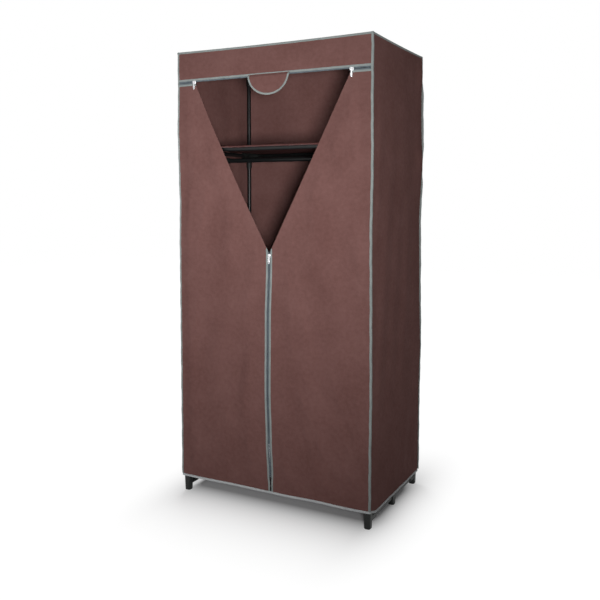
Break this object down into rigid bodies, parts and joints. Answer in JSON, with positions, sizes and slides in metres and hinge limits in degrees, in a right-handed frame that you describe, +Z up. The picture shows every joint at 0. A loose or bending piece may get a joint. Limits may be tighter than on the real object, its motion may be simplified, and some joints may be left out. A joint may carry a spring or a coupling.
{
  "type": "portable fabric wardrobe",
  "caption": "Free-standing wardrobe with a tube frame, a hanging rail and a cloth shelf under a zipped fabric cover whose doors fold in at the top.",
  "frame": {"origin": "on the floor, under the middle of the frame", "axes": "+Z up, -Y out of the front where the doors are, +X to the right seen from the front"},
  "size_m": [0.7605, 0.4922, 1.6008],
  "materials": {
    "cover_cloth": "matt non-woven",
    "shelf_cloth": "matt non-woven",
    "grey_binding": "matt woven tape",
    "zip_tape": "matt woven tape with moulded teeth",
    "connector_plastic": "satin, moulded",
    "tube_steel": "semi-gloss black",
    "bright_metal": "bright plated"
  },
  "bodies": {
    "frame": {"top_corner_front_left": "connector_plastic", "shelf_corner_front_left": "connector_plastic", "foot_front_left": "connector_plastic", "top_corner_front_right": "connector_plastic", "shelf_corner_front_right": "connector_plastic", "foot_front_right": "connector_plastic", "top_corner_back_left": "connector_plastic", "shelf_corner_back_left": "connector_plastic", "foot_back_left": "connector_plastic", "top_corner_back_right": "connector_plastic", "shelf_corner_back_right": "connector_plastic", "foot_back_right": "connector_plastic", "mid_foot_left": "connector_plastic", "mid_foot_right": "connector_plastic", "rail_bracket_left": "connector_plastic", "rail_bracket_right": "connector_plastic", "lower_post_front_left": "tube_steel", "upper_post_front_left": "tube_steel", "lower_post_front_right": "tube_steel", "upper_post_front_right": "tube_steel", "lower_post_back_left": "tube_steel", "upper_post_back_left": "tube_steel", "lower_post_back_right": "tube_steel", "upper_post_back_right": "tube_steel", "base_tube_front": "tube_steel", "base_tube_back": "tube_steel", "base_tube_left": "tube_steel", "base_tube_right": "tube_steel", "shelf_tube_front": "tube_steel", "shelf_tube_back": "tube_steel", "shelf_tube_left": "tube_steel", "shelf_tube_right": "tube_steel", "top_tube_front": "tube_steel", "top_tube_back": "tube_steel", "top_tube_left": "tube_steel", "top_tube_right": "tube_steel", "hanging_rail": "tube_steel", "roof_panel": "cover_cloth", "back_panel": "cover_cloth", "left_panel": "cover_cloth", "right_panel": "cover_cloth", "header_panel": "cover_cloth", "left_door": "cover_cloth", "right_door": "cover_cloth", "cover_piping": "grey_binding", "hem_binding": "grey_binding", "left_zip_tape": "zip_tape", "right_zip_tape": "zip_tape", "shelf_deck": "shelf_cloth"},
    "tab": {"header_tab": "cover_cloth"},
    "centre_slider": {"centre_slider": "bright_metal"},
    "centre_pull": {"centre_pull": "bright_metal"},
    "left_slider": {"left_slider": "bright_metal"},
    "left_pull": {"left_pull": "bright_metal"},
    "right_slider": {"right_slider": "bright_metal"},
    "right_pull": {"right_pull": "bright_metal"},
    "left_flap": {"left_flap": "cover_cloth"},
    "left_tip": {"left_flap_tip": "cover_cloth"},
    "right_flap": {"right_flap": "cover_cloth"},
    "right_tip": {"right_flap_tip": "cover_cloth"}
  },
  "joints": [
    {"name": "centre_zip_slide", "type": "slide", "parent": "frame", "child": "centre_slider", "axis": [0, 0, 1], "range_m": [-0.762, 0.59]},
    {"name": "left_zip_slide", "type": "slide", "parent": "frame", "child": "left_slider", "axis": [1, 0, 0], "range_m": [-0.055, 0.287]},
    {"name": "right_zip_slide", "type": "slide", "parent": "frame", "child": "right_slider", "axis": [-1, 0, 0], "range_m": [-0.055, 0.287]},
    {"name": "centre_pull_swing", "type": "hinge", "parent": "centre_slider", "child": "centre_pull", "pos_m": [0, -0.24355, 0.8855], "axis": [-1, 0, 0], "range_deg": [0, 150]},
    {"name": "left_pull_swing", "type": "hinge", "parent": "left_slider", "child": "left_pull", "pos_m": [-0.303, -0.24355, 1.491], "axis": [-1, 0, 0], "range_deg": [0, 150]},
    {"name": "right_pull_swing", "type": "hinge", "parent": "right_slider", "child": "right_pull", "pos_m": [0.303, -0.24355, 1.491], "axis": [-1, 0, 0], "range_deg": [0, 150]},
    {"name": "tab_lift", "type": "hinge", "parent": "frame", "child": "tab", "pos_m": [0, -0.2414, 1.499], "axis": [-1, 0, 0], "range_deg": [0, 150], "deforming": ["header_tab"]},
    {"name": "left_flap_fold", "type": "hinge", "parent": "frame", "child": "left_flap", "pos_m": [-0.0012, -0.23805, 0.895], "axis": [0.4525, 0, -0.8918], "range_deg": [0, 180], "deforming": ["left_flap"]},
    {"name": "right_flap_fold", "type": "hinge", "parent": "frame", "child": "right_flap", "pos_m": [0.0012, -0.23805, 0.895], "axis": [0.4525, 0, 0.8918], "range_deg": [0, 180], "deforming": ["right_flap"]},
    {"name": "left_tip_fold", "type": "hinge", "parent": "left_flap", "child": "left_tip", "pos_m": [-0.343, -0.23535, 0.895], "axis": [0, 0, 1], "range_deg": [0, 180], "deforming": ["left_flap_tip"]},
    {"name": "right_tip_fold", "type": "hinge", "parent": "right_flap", "child": "right_tip", "pos_m": [0.343, -0.23535, 0.895], "axis": [0, 0, -1], "range_deg": [0, 180], "deforming": ["right_flap_tip"]}
  ],
  "couplings": [
    {"joint": "left_tip_fold", "follows": "left_flap_fold", "ratio": 1},
    {"joint": "right_tip_fold", "follows": "right_flap_fold", "ratio": 1}
  ]
}
